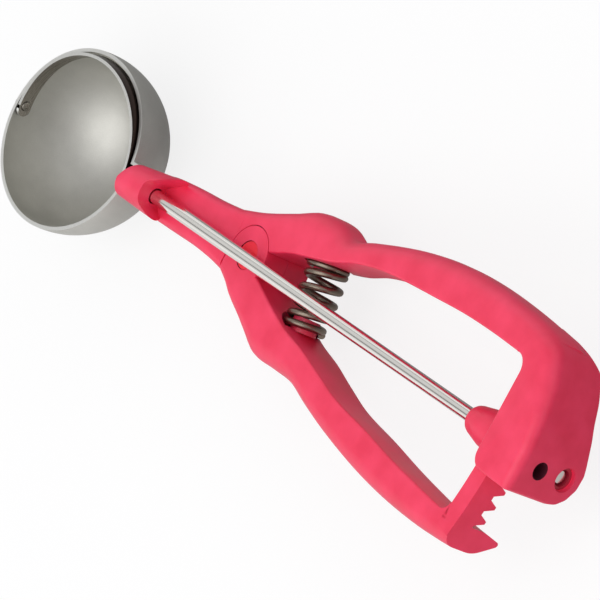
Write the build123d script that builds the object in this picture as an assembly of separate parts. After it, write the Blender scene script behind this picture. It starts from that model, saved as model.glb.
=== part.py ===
from build123d import *
from math import cos, sin, tan, radians, degrees, pi, hypot, atan2
import os

os.makedirs("parts", exist_ok=True)

# Lever ice cream scoop, right-hand squeeze, in millimetres.
# Origin at the centre of the ball, +X along the drive rod to the end of the handle,
# +Z out of the bowl's mouth, +Y towards the fixed handle.

# ---- bowl ----
ballRadius = 24.9
bowlSheet = 1.0
rimHeight = 2.0
collarRadius = 5.2
collarWall = 0.9
collarEnd = 29.0

# ---- scraper, a half ring that turns about the rod axis ----
scraperOuter = 24.3
scraperThick = 0.9
scraperHalfWidth = 1.75
scraperParkAngle = 7.8
rivetShank = 0.9
rivetHead = 1.25

# ---- drive rod, pinion and its bearings ----
rodRadius = 2.0
rodFront = 24.35
rodEnd = 212.6
tenonHalf = 1.1
sleeveRadius = 3.0
sleeveBore = 2.35
sleeveFront = 26.6
sleeveEnd = 37.0
bushFront = 28.0
bushEnd = 35.5
runningGap = 0.05

# ---- handle plane: the pivot axis stands square on it ----
pivotX = 74.5
pivotZ = -3.0
pivotV = 0.6
handleTilt = 9.0
hubRadius = 8.35
hubGap = 0.25
lapDepth = 7.6
lapGap = 0.15
hubDepth = 15.6
pinShank = 3.2
pinHead = 4.1
pinHeadDepth = 1.6

# ---- rack and pinion ----
gearModule = 1.45
pinionTeeth = 8
addendum = 1.3
dedendum = 1.65
backlash = 0.62
rootGap = 0.3
flankAngle = 25.0
rackInner = 122.0
rackOuter = 128.6
rackMean = 125.3
rackTop = -3.9
rackFirst = -11.5
rackCount = 4
pinionFront = 195.9
pinionEnd = 201.7

# ---- end housing of the fixed handle ----
housingFront = 197.9
endFace = 214.8
housingSide = -7.8
ridgeFillet = 2.6
rearBlock = 202.6
bossTip = 175.2
counterbore = 3.5
counterboreDepth = 1.2
endHoleRadius = 2.45
upperHoleRadius = 2.55
upperHoleZ = 10.3
upperHoleDepth = 11.0
guardRadius = 8.8
chamberRadius = 7.5

# ---- return spring ----
springU = 23.0
springW = -9.6
springMean = 5.5
springWire = 0.9
springTurns = 4.5
seatFixed = 10.9
seatLever = -9.1
seatRadius = 6.75
pegRadius = 3.9
pegLength = 3.6

handlePlane = Plane(
    origin=(pivotX, 0, pivotZ),
    x_dir=(cos(radians(handleTilt)), 0, sin(radians(handleTilt))),
    z_dir=(-sin(radians(handleTilt)), 0, cos(radians(handleTilt))),
)


def place(shape):
    """Move a shape from the handle's own flat frame to the object's frame."""
    return handlePlane.location * shape


def unplace(shape):
    return handlePlane.location.inverse() * shape


def roundedFace(points, radii):
    """A closed outline of straight runs with a tangent arc at every corner."""
    edges = []
    count = len(points)
    corners = []
    for i in range(count):
        ax, ay = points[i - 1]
        bx, by = points[i]
        cx, cy = points[(i + 1) % count]
        la, lc = hypot(ax - bx, ay - by), hypot(cx - bx, cy - by)
        ua, uc = ((ax - bx) / la, (ay - by) / la), ((cx - bx) / lc, (cy - by) / lc)
        half = 0.5 * (pi - abs(pi - abs(atan2(ua[1], ua[0]) - atan2(uc[1], uc[0]))))
        reach = radii[i] / tan(half)
        start = (bx + ua[0] * reach, by + ua[1] * reach)
        end = (bx + uc[0] * reach, by + uc[1] * reach)
        mx, my = ua[0] + uc[0], ua[1] + uc[1]
        ml = hypot(mx, my)
        away = radii[i] / sin(half) - radii[i]
        middle = (bx + mx / ml * away, by + my / ml * away)
        corners.append((start, middle, end))
    for i in range(count):
        start, middle, end = corners[i]
        if radii[i] > 0:
            edges.append(ThreePointArc(start, middle, end))
        edges.append(Line(end, corners[(i + 1) % count][0]))
    return make_face(Wire(edges))


def acrossPlane(x, shift=(0, 0)):
    """Section plane square to X: its own x is Y and its own y is Z."""
    return Plane(origin=(x, shift[0], shift[1]), x_dir=(0, 1, 0), z_dir=(1, 0, 0))


def rodAlong(radius, x0, x1):
    return extrude(acrossPlane(x0) * Circle(radius), x1 - x0)


def ringAlong(outer, inner, x0, x1):
    return rodAlong(outer, x0, x1) - rodAlong(inner, x0 - 1, x1 + 1)


def boxBetween(lo, hi):
    size = [b - a for a, b in zip(lo, hi)]
    middle = [(a + b) / 2 for a, b in zip(lo, hi)]
    return Location(middle) * Box(*size)


def discUp(radius, w0, w1):
    """Disc about the pivot, in the handle's own frame."""
    return Pos(0, pivotV, w0) * extrude(Circle(radius), w1 - w0)


def swing(angle):
    """Turn about the pivot in the handle's own frame."""
    return Pos(0, pivotV, 0) * Rot(0, 0, angle) * Pos(0, -pivotV, 0)


def arcBand(inner, outer, w0, w1):
    """Ring about the pivot in the handle's own frame."""
    return discUp(outer, w0, w1) - discUp(inner, w0 - 1, w1 + 1)


# ---------------------------------------------------------------- bowl and scraper


def makeBowl():
    outer = Sphere(ballRadius + bowlSheet)
    collar = rodAlong(collarRadius, 18, collarEnd)
    inner = Sphere(ballRadius)
    mouth = rodAlong(collarRadius - collarWall, 18, collarEnd + 1)
    above = boxBetween((-40, -40, rimHeight), (40, 40, 40))
    shape = (outer + collar) - inner - mouth - above
    return shape - rodAlong(rivetShank + 0.02, -30, -20)


def makeScraper():
    """Flat strip bent to a half circle, with a round tab at each end."""
    strip = Circle(scraperOuter) - Circle(scraperOuter - scraperThick)
    strip = extrude(Plane.XY.offset(-scraperHalfWidth) * strip, 2 * scraperHalfWidth)
    keep = boxBetween((-30, 0, -5), (30, 30, 5)) + rodAlong(scraperHalfWidth, -30, -15)
    keep += rodAlong(scraperHalfWidth, 15, 30)
    shape = strip & keep
    shape -= rodAlong(rivetShank + runningGap, -30, -20)
    square = extrude(acrossPlane(20) * Rectangle(2 * tenonHalf, 2 * tenonHalf), 10)
    shape -= square
    return Rot(scraperParkAngle, 0, 0) * shape


def makeRivet():
    shank = rodAlong(rivetShank, -(ballRadius + bowlSheet + 0.2), -23.2)
    head = rodAlong(rivetHead, -23.35, -22.75)
    head = fillet(head.edges().filter_by(GeomType.CIRCLE).sort_by(Axis.X)[-1], 0.4)
    outside = rodAlong(1.5, -(ballRadius + bowlSheet + 0.75), -(ballRadius + bowlSheet - 0.02))
    outside = fillet(outside.edges().filter_by(GeomType.CIRCLE).sort_by(Axis.X)[0], 0.4)
    return shank + head + outside


def makeWasher():
    return ringAlong(1.6, rivetShank + 0.02, -24.78, -24.38)


# ---------------------------------------------------------------- rod, pinion, bearings


def makeRod():
    shape = rodAlong(rodRadius, rodFront, rodEnd)
    shape = chamfer(shape.edges().filter_by(GeomType.CIRCLE), 0.25)
    tenon = extrude(acrossPlane(22.9) * Rectangle(2 * tenonHalf - 0.02, 2 * tenonHalf - 0.02), 1.7)
    shape += Rot(scraperParkAngle, 0, 0) * tenon
    return shape - pinionPinHole(0.62)


def pinionPinHole(radius):
    x = 0.5 * (pinionFront + pinionEnd)
    angle = pinionPhase() + 180.0 / pinionTeeth
    pin = extrude(Plane.XY.offset(-9) * Circle(radius), 18)
    return Pos(x, 0, 0) * Rot(angle - 90, 0, 0) * pin


def pinionPhase():
    """Angle in degrees, about +X from +Y, of one pinion tooth, so that it meshes at rest."""
    nearest = rackFirst + 2 * pi * 0.5 * gearModule * 2
    gapArc = -nearest / (0.5 * gearModule * pinionTeeth)
    return 90 + degrees(gapArc) + 180.0 / pinionTeeth


def toothHalfAngle(r):
    """Widest half tooth at radius r that the rack's straight flanks leave free while rolling."""
    pitch = 0.5 * gearModule * pinionTeeth
    slope = tan(radians(flankAngle))
    low, high = 0.0, pi / pinionTeeth
    for step in range(24):
        middle = 0.5 * (low + high)
        touched = False
        for i in range(-80, 81):
            roll = i * 0.0131
            height = r * cos(roll + middle) - pitch
            side = r * sin(roll + middle) - pitch * roll
            if height > -addendum and side > 0.25 * pi * gearModule - height * slope:
                touched = True
        if touched:
            high = middle
        else:
            low = middle
    return low


def makePinion():
    pitch = 0.5 * gearModule * pinionTeeth
    radii = [pitch - addendum - rootGap, 4.75, 5.1, 5.5, 5.9, 6.3, 6.7, pitch + addendum]
    halves = [(r, toothHalfAngle(r) - 0.25 * backlash / r) for r in radii]
    points = []
    for k in range(pinionTeeth):
        a = radians(pinionPhase()) + 2 * pi * k / pinionTeeth
        for r, h in halves:
            points.append((r * cos(a - h), r * sin(a - h)))
        for r, h in reversed(halves):
            points.append((r * cos(a + h), r * sin(a + h)))
    outline = make_face(Polyline(*points, close=True))
    body = extrude(acrossPlane(pinionFront) * outline, pinionEnd - pinionFront)
    body -= rodAlong(rodRadius + 0.02, pinionFront - 1, pinionEnd + 1)
    return body - pinionPinHole(0.62)


def makePinionPin():
    x = 0.5 * (pinionFront + pinionEnd)
    angle = pinionPhase() + 180.0 / pinionTeeth
    length = 2 * (0.5 * gearModule * pinionTeeth - dedendum) - 0.2
    pin = extrude(Plane.XY.offset(-length / 2) * Circle(0.6), length)
    return Pos(x, 0, 0) * Rot(angle - 90, 0, 0) * pin


def makeSleeve():
    return ringAlong(sleeveRadius, sleeveBore, sleeveFront, sleeveEnd)


def makeFrontBush():
    return ringAlong(sleeveBore - 0.01, rodRadius + runningGap, bushFront, bushEnd)


def makeRearBush():
    body = rodAlong(endHoleRadius + 0.75, rearBlock + 0.3, endFace - counterboreDepth)
    body -= rodAlong(rodRadius + runningGap, rearBlock - 1, rodEnd - 2.0)
    body -= rodAlong(endHoleRadius, rodEnd - 2.0, endFace + 1)
    return body


# ---------------------------------------------------------------- handles


def gripSection(u, inner, outer, top, innerDepth, tip, tipDepth, edge):
    side = 1 if outer > 0 else -1
    points = [
        (inner, top),
        (outer, top),
        (outer - side * 0.2, top - 0.62 * tipDepth),
        (tip, top - tipDepth),
        (inner, top - innerDepth),
    ]
    radii = [0.7, edge, 3.2, 0.9, 1.4]
    return acrossPlane(u) * roundedFace(points, radii)


def gripLoft(stations):
    return loft([gripSection(*s) for s in stations])


def blockSection(x, left, right, bottom, top, low, high):
    points = [(left, bottom), (right, bottom), (right, top), (left, top)]
    return acrossPlane(x) * roundedFace(points, [low, low, high, high])


def makeNeck():
    """Head round the rod's bearing and the neck that runs down to the pivot."""
    stations = [
        (20.0, -5.3, 3.6, -6.0, 5.3, 4.3, 4.3),
        (27.0, -5.5, 4.7, -6.4, 5.5, 4.6, 4.9),
        (32.0, -5.5, 6.0, -7.0, 5.5, 4.6, 5.0),
        (36.8, -5.5, 7.2, -7.8, 5.3, 4.6, 4.6),
        (42.0, -5.6, 7.6, -9.2, 2.6, 4.2, 3.6),
        (47.0, -5.6, 8.1, -10.6, -1.6, 3.8, 2.8),
        (53.0, -5.5, 8.8, -12.4, -5.0, 3.4, 2.4),
        (60.0, -5.4, 9.6, -14.4, -5.0, 3.0, 2.2),
        (66.0, -6.0, 10.8, -16.6, -4.3, 3.0, 2.2),
    ]
    shape = loft([blockSection(*s) for s in stations])
    scoop = rodAlong(5.6, 36.8, 90)
    scoop = fillet(scoop.edges().filter_by(GeomType.CIRCLE).sort_by(Axis.X)[0], 0.8)
    return shape - scoop


def makeFixedGrip():
    stations = [
        (-14.0, 0.5, 10.4, 0.0, 15.0, 3.0, 15.6, 2.4),
        (-4.0, 1.5, 13.9, 0.0, 15.2, 4.0, 16.0, 3.0),
        (7.3, 4.6, 18.6, 0.0, 15.4, 8.0, 16.6, 4.0),
        (15.8, 8.0, 22.0, 0.0, 15.6, 12.0, 17.0, 5.0),
        (24.6, 10.4, 23.1, 0.0, 15.4, 14.0, 17.2, 5.4),
        (33.4, 12.4, 22.3, 0.0, 14.6, 15.5, 17.0, 5.0),
        (42.3, 14.4, 24.3, 0.0, 13.6, 17.4, 16.6, 4.8),
        (53.5, 17.2, 27.5, 0.0, 12.8, 20.4, 16.4, 4.8),
        (64.9, 19.8, 30.3, 0.0, 12.4, 23.0, 16.4, 5.0),
        (78.8, 21.8, 32.5, 0.0, 12.4, 25.2, 16.6, 5.2),
        (92.8, 22.8, 33.6, 0.0, 12.6, 26.4, 17.0, 5.2),
        (106.9, 23.3, 34.2, 0.0, 13.4, 27.0, 17.8, 4.6),
        (121.0, 23.4, 33.6, 0.0, 14.6, 27.0, 18.6, 3.6),
    ]
    return gripLoft(stations)


def makeHousing():
    """Upright block behind the rack: rounded outline from above, cut to the end outline."""
    plan = [
        (193.0, 23.4), (housingFront, 23.4), (housingFront, housingSide), (endFace, housingSide),
        (endFace, 4.0), (213.2, 12.4), (209.8, 21.2), (203.6, 29.6), (193.0, 33.9),
    ]
    outlineFace = roundedFace(plan, [0, 4.2, 4.2, 1.2, 24, 24, 24, 16, 0])
    block = extrude(Plane.XY.offset(-12) * outlineFace, 40)
    outline = [
        (housingSide, 30), (housingSide, 2.6), (-6.9, -1.2), (-5.2, -4.2), (-1.6, -6.5), (2.6, -6.5),
        (14.7, -3.9), (25.0, -2.3), (30.0, -1.0), (34.6, 4.0), (34.6, 30),
    ]
    radii = [0.5, 4, 4, 3, 3, 3, 20, 10, 5, 5, 0.5]
    profile = extrude(acrossPlane(180) * roundedFace(outline, radii), 50)
    top = place(boxBetween((60, -60, 0), (200, 60, 60)))
    shape = block - top
    ridge = []
    for edge in shape.edges():
        offPlane = (edge @ 0.5 - handlePlane.origin).dot(handlePlane.z_dir)
        if abs(offPlane) < 0.05 and (edge @ 0.5).X > 193.1:
            ridge.append(edge)
    return fillet(ridge, ridgeFillet) & profile


def rackSpace(grow):
    """Room that the rack arm takes over the whole squeeze."""
    slab = arcBand(rackInner - grow, rackOuter + grow, rackTop + grow - 16, rackTop + grow)
    slab = slab & boxBetween((60, -60, -40), (160, 22.6, 10))
    return place(slab)


def makeBoss():
    outline = Polyline(
        (bossTip, 0), (bossTip, 4.0), (bossTip + 8.3, 5.15), (bossTip + 18.8, 5.6),
        (bossTip + 18.8, 0), close=True)
    shape = revolve(make_face(outline), Axis.X, 360)
    return fillet(shape.edges().filter_by(GeomType.CIRCLE).sort_by(Axis.X)[0], 1.9)


def makeGuard():
    """Half round wall under the pinion that ties the boss to the block behind it."""
    wall = ringAlong(guardRadius, chamberRadius, bossTip + 16.8, rearBlock + 0.5)
    front = rodAlong(guardRadius, bossTip + 16.8, pinionFront - 0.4)
    keep = boxBetween((150, -5.6, -20), (230, 20, 1.0)) + boxBetween((150, 5.8, -20), (230, 20, 4.0))
    return (wall + front) & keep


def makeFixedHandle():
    lap = discUp(hubRadius, -hubDepth, -lapDepth - lapGap)
    upper = place(discUp(hubRadius + hubGap, -lapDepth - lapGap, 20))
    below = boxBetween((-8.9, -40, -40), (60, -0.6, 20))
    neck = makeNeck() - place(below)
    shape = neck + place(makeFixedGrip() - boxBetween((-8.9, -40, -40), (60, -0.6, 20)))
    shape = shape - upper + place(lap)
    shape += makeHousing()
    shape -= rackSpace(0.35)
    shape -= boxBetween((190, -9, -20), (rearBlock, 22.6, 12.0))
    shape += makeBoss() + makeGuard()
    shape -= Sphere(ballRadius + bowlSheet + 0.05)
    shape -= ringAlong(collarRadius + 0.05, collarRadius - collarWall - 0.05, 15, collarEnd + 0.1)
    shape -= rodAlong(collarRadius, 15, sleeveFront)
    shape -= rodAlong(sleeveRadius + 0.01, 15, sleeveEnd)
    shape -= rodAlong(sleeveBore, sleeveEnd - 1, 40)
    shape -= rodAlong(rodRadius + 0.25, 150, pinionFront)
    shape -= rodAlong(endHoleRadius + 0.76, rearBlock - 1, endFace + 1)
    shape -= rodAlong(counterbore, endFace - counterboreDepth, endFace + 1)
    upperHole = rodAlong(upperHoleRadius, endFace - upperHoleDepth, endFace + 1)
    shape -= Pos(0, 0, upperHoleZ) * upperHole
    shape -= place(discUp(pinShank + 0.01, -30, 1) + discUp(5.6, -30, -hubDepth))
    shape -= rodAlong(rodRadius + 0.35, sleeveEnd, 120)
    seat = extrude(Plane(origin=(springU, 2, springW), z_dir=(0, 1, 0)) * Circle(seatRadius), seatFixed - 2)
    peg = extrude(
        Plane(origin=(springU, seatFixed - pegLength, springW), z_dir=(0, 1, 0)) * Circle(pegRadius),
        pegLength + 0.5)
    shape = shape - place(seat) + place(peg)
    return shape


def leverTop(u):
    return rackTop * max(0.0, u - 6.0) / 114.0


def makeLeverGrip():
    raw = [
        (-8.4, -1.5, -8.0, 15.0, -5.0, 15.4, 2.0),
        (-0.3, -1.8, -11.6, 15.2, -6.0, 15.8, 2.6),
        (7.5, -2.7, -14.8, 15.4, -7.5, 16.4, 3.4),
        (12.5, -4.4, -17.7, 15.4, -9.0, 16.8, 4.2),
        (18.4, -6.6, -20.0, 15.4, -10.8, 17.0, 5.0),
        (28.1, -9.9, -20.5, 15.0, -13.6, 17.0, 5.0),
        (38.0, -12.2, -20.6, 14.0, -15.0, 16.4, 4.4),
        (48.0, -14.4, -23.1, 13.0, -17.4, 16.2, 4.2),
        (60.0, -16.6, -25.9, 12.4, -20.0, 16.2, 4.4),
        (76.0, -18.6, -28.4, 12.0, -22.0, 16.4, 4.6),
        (92.0, -20.1, -30.0, 11.6, -23.4, 16.8, 4.6),
        (108.0, -21.7, -30.9, 11.0, -24.8, 17.6, 4.4),
        (120.0, -22.7, -30.9, 10.4, -25.4, 18.3, 4.0),
        (129.4, -22.9, -30.6, 10.2, -25.6, 18.6, 3.4),
    ]
    stations = [(u, vi, vo, leverTop(u), di, vt, dt, e) for u, vi, vo, di, vt, dt, e in raw]
    return gripLoft(stations)


def rackTooth(angle):
    """One tooth, made straight behind the pivot, then turned about it."""
    pitchRadius = 0.5 * gearModule * pinionTeeth
    pitchLine = pitchRadius
    half = 0.25 * pi * gearModule - 0.25 * backlash
    slope = tan(radians(flankAngle))
    tipZ = pitchLine - addendum
    baseZ = pitchLine + dedendum
    points = [
        (-half - slope * (baseZ - pitchLine), baseZ + 0.6),
        (-half - slope * (baseZ - pitchLine), baseZ),
        (-half + slope * addendum, tipZ),
        (half - slope * addendum, tipZ),
        (half + slope * (baseZ - pitchLine), baseZ),
        (half + slope * (baseZ - pitchLine), baseZ + 0.6),
    ]
    face = make_face(Polyline(*points, close=True))
    prism = extrude(acrossPlane(pivotX + 115, (pivotV, 0)) * face, 20)
    return swing(angle) * unplace(prism)


def makeRack():
    baseZ = 0.5 * gearModule * pinionTeeth + dedendum
    slab = arcBand(rackInner, rackOuter, -30, rackTop)
    lead = swing(degrees(4.2 / rackMean)) * boxBetween((90, -60, -40), (160, 0, 10))
    slab = slab & lead & boxBetween((90, -26, -40), (160, 20, 10))
    under = unplace(boxBetween((150, -60, -40), (260, 60, baseZ)))
    bar = slab - under
    teeth = []
    pitchAngle = degrees(pi * gearModule / rackMean)
    first = degrees((rackFirst - pivotV) / rackMean)
    for k in range(-2, rackCount):
        teeth.append(rackTooth(first + k * pitchAngle))
    band = arcBand(rackInner, rackOuter, -30, rackTop)
    for tooth in teeth:
        bar += tooth & band
    return bar


def makeLeverHandle():
    hub = discUp(hubRadius, -lapDepth, 0)
    arm = makeLeverGrip()
    arm -= discUp(hubRadius + hubGap, -40, -lapDepth)
    arm -= arcBand(rackOuter, 200, -60, 20)
    shape = hub + arm + makeRack()
    shape -= discUp(pinShank + runningGap, -20, 5)
    shape -= discUp(pinHead + runningGap, -pinHeadDepth - 0.05, 5)
    seat = extrude(Plane(origin=(springU, -1, springW), z_dir=(0, -1, 0)) * Circle(seatRadius), -seatLever - 1)
    peg = extrude(
        Plane(origin=(springU, seatLever + pegLength, springW), z_dir=(0, -1, 0)) * Circle(pegRadius),
        pegLength + 0.5)
    shape = shape - seat + peg
    for k in range(5):
        shape -= swing(-1.9 * k) * unplace(rodAlong(rodRadius + 0.35, 60, 120))
    return place(shape)


def makePivotPin():
    shape = discUp(pinShank, -hubDepth - 1.2, -0.1)
    shape += discUp(pinHead, -pinHeadDepth, -0.1)
    shape = fillet(shape.edges().filter_by(GeomType.CIRCLE).sort_by(Axis.Z)[-1], 0.3)
    return place(shape)


def makePivotCap():
    outer = discUp(5.2, -hubDepth - 1.6, -hubDepth - 0.02)
    outer = fillet(outer.edges().filter_by(GeomType.CIRCLE).sort_by(Axis.Z)[0], 0.6)
    return place(outer - discUp(pinShank + 0.01, -hubDepth - 1.25, 0))


def makeSpring():
    """Coil between the two handles, its end turns closed."""
    length = seatFixed - seatLever - 0.1
    rise = length - 2 * springWire
    coil = Helix(pitch=rise / springTurns, height=rise, radius=springMean)
    wire = Plane(origin=coil @ 0, z_dir=coil % 0) * RegularPolygon(springWire, 8)
    shape = sweep(wire, path=coil)
    ring = Plane.XZ * Pos(springMean, 0) * RegularPolygon(springWire, 8)
    first = revolve(ring, Axis.Z, -300)
    last = Pos(0, 0, rise) * Rot(0, 0, 360 * springTurns) * revolve(ring, Axis.Z, 300)
    shape = shape + first + last
    mount = Plane(origin=(springU, seatLever + 0.05 + springWire, springW), z_dir=(0, 1, 0))
    return place(mount.location * shape)


parts = {
    "bowl": makeBowl,
    "scraper": makeScraper,
    "scraper_rivet": makeRivet,
    "scraper_washer": makeWasher,
    "bowl_sleeve": makeSleeve,
    "front_bush": makeFrontBush,
    "rear_bush": makeRearBush,
    "drive_rod": makeRod,
    "pinion": makePinion,
    "pinion_pin": makePinionPin,
    "fixed_handle": makeFixedHandle,
    "lever_handle": makeLeverHandle,
    "pivot_pin": makePivotPin,
    "pivot_cap": makePivotCap,
    "return_spring": makeSpring,
}

for name, make in parts.items():
    solid = make()
    export_step(solid, f"parts/{name}.step")
    print(name, len(solid.solids()), round(solid.volume, 1))
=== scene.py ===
import bpy
import math
from mathutils import Matrix, Vector


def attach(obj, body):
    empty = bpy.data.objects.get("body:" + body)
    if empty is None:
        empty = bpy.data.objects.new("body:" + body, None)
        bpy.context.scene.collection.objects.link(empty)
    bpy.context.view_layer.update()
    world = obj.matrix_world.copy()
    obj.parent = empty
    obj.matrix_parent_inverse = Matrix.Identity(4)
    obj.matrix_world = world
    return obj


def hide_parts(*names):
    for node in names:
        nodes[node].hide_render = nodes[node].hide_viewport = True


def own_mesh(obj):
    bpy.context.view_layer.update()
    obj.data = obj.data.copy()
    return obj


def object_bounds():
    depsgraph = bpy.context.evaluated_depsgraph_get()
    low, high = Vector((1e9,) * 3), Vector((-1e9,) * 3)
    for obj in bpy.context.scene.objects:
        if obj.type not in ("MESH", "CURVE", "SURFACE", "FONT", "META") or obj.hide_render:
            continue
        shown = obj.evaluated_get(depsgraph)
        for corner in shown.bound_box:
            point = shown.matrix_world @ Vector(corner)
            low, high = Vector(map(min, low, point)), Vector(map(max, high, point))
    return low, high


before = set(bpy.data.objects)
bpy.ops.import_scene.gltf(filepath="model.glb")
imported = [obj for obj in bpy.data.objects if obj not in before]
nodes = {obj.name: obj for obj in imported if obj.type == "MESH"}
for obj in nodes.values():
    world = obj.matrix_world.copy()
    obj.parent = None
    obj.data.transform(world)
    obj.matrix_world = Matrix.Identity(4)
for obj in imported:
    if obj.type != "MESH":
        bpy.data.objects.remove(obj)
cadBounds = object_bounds()
mm = 0.001
print("frame loaded:", len(nodes), "nodes")


def hexToLinear(code):
    channels = [int(code[i:i + 2], 16) / 255 for i in (1, 3, 5)]
    linear = [c / 12.92 if c <= 0.04045 else ((c + 0.055) / 1.055) ** 2.4 for c in channels]
    return (*linear, 1.0)


def addNode(material, kind, settings=None, links=None):
    node = material.node_tree.nodes.new(kind)
    for name, value in (settings or {}).items():
        if isinstance(name, str) and hasattr(node, name):
            setattr(node, name, value)
        else:
            node.inputs[name].default_value = value
    for name, source in (links or {}).items():
        material.node_tree.links.new(source, node.inputs[name])
    return node


def startMaterial(name, shaderSettings):
    material = bpy.data.materials.new(name)
    material.use_nodes = True
    material.node_tree.nodes.clear()
    shader = addNode(material, "ShaderNodeBsdfPrincipled", shaderSettings)
    addNode(material, "ShaderNodeOutputMaterial", links={"Surface": shader.outputs["BSDF"]})
    return material, shader


def setRamp(ramp, stops):
    elements = ramp.color_ramp.elements
    while len(elements) < len(stops):
        elements.new(0.5)
    for element, (position, color) in zip(elements, stops):
        element.position = position
        element.color = color


def followPatterns(material, shader, look, tintBy, glossBy, reliefBy):
    # colour, gloss and relief each follow a noise pattern, which keeps mostly between low and high
    low, high = 0.3, 0.7
    tint = addNode(material, "ShaderNodeValToRGB", links={"Fac": tintBy})
    setRamp(tint, [(low, hexToLinear(look["darkColor"])), (high, hexToLinear(look["color"]))])
    gloss = addNode(material, "ShaderNodeMapRange",
                    {"From Min": low, "From Max": high,
                     "To Min": look["roughness"] - look["glossier"],
                     "To Max": look["roughness"] + look["duller"]},
                    {"Value": glossBy})
    relief = addNode(material, "ShaderNodeBump",
                     {"Strength": look["relief"], "Distance": look["reliefHeight"]},
                     {"Height": reliefBy})
    link = material.node_tree.links.new
    link(tint.outputs["Color"], shader.inputs["Base Color"])
    link(gloss.outputs["Result"], shader.inputs["Roughness"])
    link(relief.outputs["Normal"], shader.inputs["Normal"])


plasticLook = {
    "color": "#FB3C63",
    "darkColor": "#EE2B52",
    "roughness": 0.42,
    "glossier": 0.04,
    "duller": 0.05,
    "cloudSize": 9 * mm,
    "grainSize": 0.35 * mm,        # real spark-eroded grain is about 0.05 mm, drawn coarser so it shows
    "relief": 0.5,
    "reliefHeight": 0.012 * mm,
}


def mouldedPlastic(name, look):
    # glass-filled nylon out of a spark-eroded mould: an even satin skin with soft wide highlights
    material, shader = startMaterial(name, {
        "Roughness": look["roughness"],
        "IOR": 1.53,
        "Subsurface Weight": 0.12,
        "Subsurface Radius": (1.0 * mm, 0.25 * mm, 0.2 * mm),
        "Subsurface Scale": 1.0,
    })
    place = addNode(material, "ShaderNodeTexCoord")
    clouds = addNode(material, "ShaderNodeTexNoise",
                     {"Scale": 1 / look["cloudSize"], "Detail": 3.0, "Roughness": 0.5},
                     {"Vector": place.outputs["Object"]})
    grain = addNode(material, "ShaderNodeTexNoise",
                    {"Scale": 1 / look["grainSize"], "Detail": 2.0, "Roughness": 0.6},
                    {"Vector": place.outputs["Object"]})
    followPatterns(material, shader, look,
                   clouds.outputs["Fac"], clouds.outputs["Fac"], grain.outputs["Fac"])
    return material


blastedLook = {
    "color": "#D2D1CB",
    "darkColor": "#C4C3BD",
    "roughness": 0.52,
    "glossier": 0.06,
    "duller": 0.06,
    "cloudSize": 14 * mm,
    "grainSize": 0.32 * mm,        # bead marks are about 0.1 mm, drawn coarser so they show
    "relief": 0.5,
    "reliefHeight": 0.05 * mm,
}


def blastedSteel(name, look):
    # stainless steel blasted with glass beads: grey, evenly dull, highlights spread wide and soft
    material, shader = startMaterial(name, {"Metallic": 1.0, "Roughness": look["roughness"]})
    place = addNode(material, "ShaderNodeTexCoord")
    clouds = addNode(material, "ShaderNodeTexNoise",
                     {"Scale": 1 / look["cloudSize"], "Detail": 4.0, "Roughness": 0.55},
                     {"Vector": place.outputs["Object"]})
    grain = addNode(material, "ShaderNodeTexNoise",
                    {"Scale": 1 / look["grainSize"], "Detail": 2.0, "Roughness": 0.6},
                    {"Vector": place.outputs["Object"]})
    followPatterns(material, shader, look,
                   clouds.outputs["Fac"], grain.outputs["Fac"], grain.outputs["Fac"])
    return material


drawnLook = {
    "color": "#F0EEE8",
    "darkColor": "#DEDCD5",
    "roughness": 0.12,
    "glossier": 0.04,
    "duller": 0.08,
    "lineWidth": 0.12 * mm,        # real die lines are finer, drawn as coarse as shows
    "lineLength": 30 * mm,
    "linesRunAlong": (1, 0, 0),    # X, Y, Z
    "relief": 0.4,
    "reliefHeight": 0.004 * mm,
}


def drawnSteel(name, look):
    # bright drawn wire or bar: polished along its length by the die, so fine straight lines run with it
    material, shader = startMaterial(name, {"Metallic": 1.0, "Roughness": look["roughness"]})
    place = addNode(material, "ShaderNodeTexCoord")
    across, along = 1 / look["lineWidth"], 1 / look["lineLength"]
    stretch = addNode(material, "ShaderNodeMapping",
                      {"Scale": [along if runs else across for runs in look["linesRunAlong"]]},
                      {"Vector": place.outputs["Object"]})
    lines = addNode(material, "ShaderNodeTexNoise",
                    {"Scale": 1.0, "Detail": 3.0, "Roughness": 0.6},
                    {"Vector": stretch.outputs["Vector"]})
    followPatterns(material, shader, look,
                   lines.outputs["Fac"], lines.outputs["Fac"], lines.outputs["Fac"])
    return material


# the same ways of making, in other colours and polishes; the bore and tube colours carry painted shade, the
# rim colour a painted highlight
pivotLook = dict(plasticLook, color="#FF1838", darkColor="#FF1230", roughness=0.36)
# painted shade: dark red that stands for the shade inside a deep hole
boreShadeLook = dict(plasticLook, color="#5C1228", darkColor="#4A0C20", roughness=0.6)
bushLook = dict(plasticLook, color="#B8203C", darkColor="#A81A34", roughness=0.36)
stripLook = dict(drawnLook, color="#A9A49C", darkColor="#8E8981", roughness=0.24,
                 linesRunAlong=(1, 1, 0))
# painted highlight: brighter colour for the bowl's up-facing rim and the strip's edges, on a smoother ground
# finish
rimHighlightLook = dict(drawnLook, color="#F6F6F1", darkColor="#E6E6E0", roughness=0.34,
               linesRunAlong=(0, 0, 0))
wireLook = dict(drawnLook, color="#9A8F82", darkColor="#74695D", roughness=0.3,
                lineLength=2 * mm)
# painted shade: dark steel for the sleeve inside the head and the back of the strip
shadeDarkTubeLook = dict(drawnLook, color="#4A3C38", darkColor="#332926", roughness=0.32)

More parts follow.
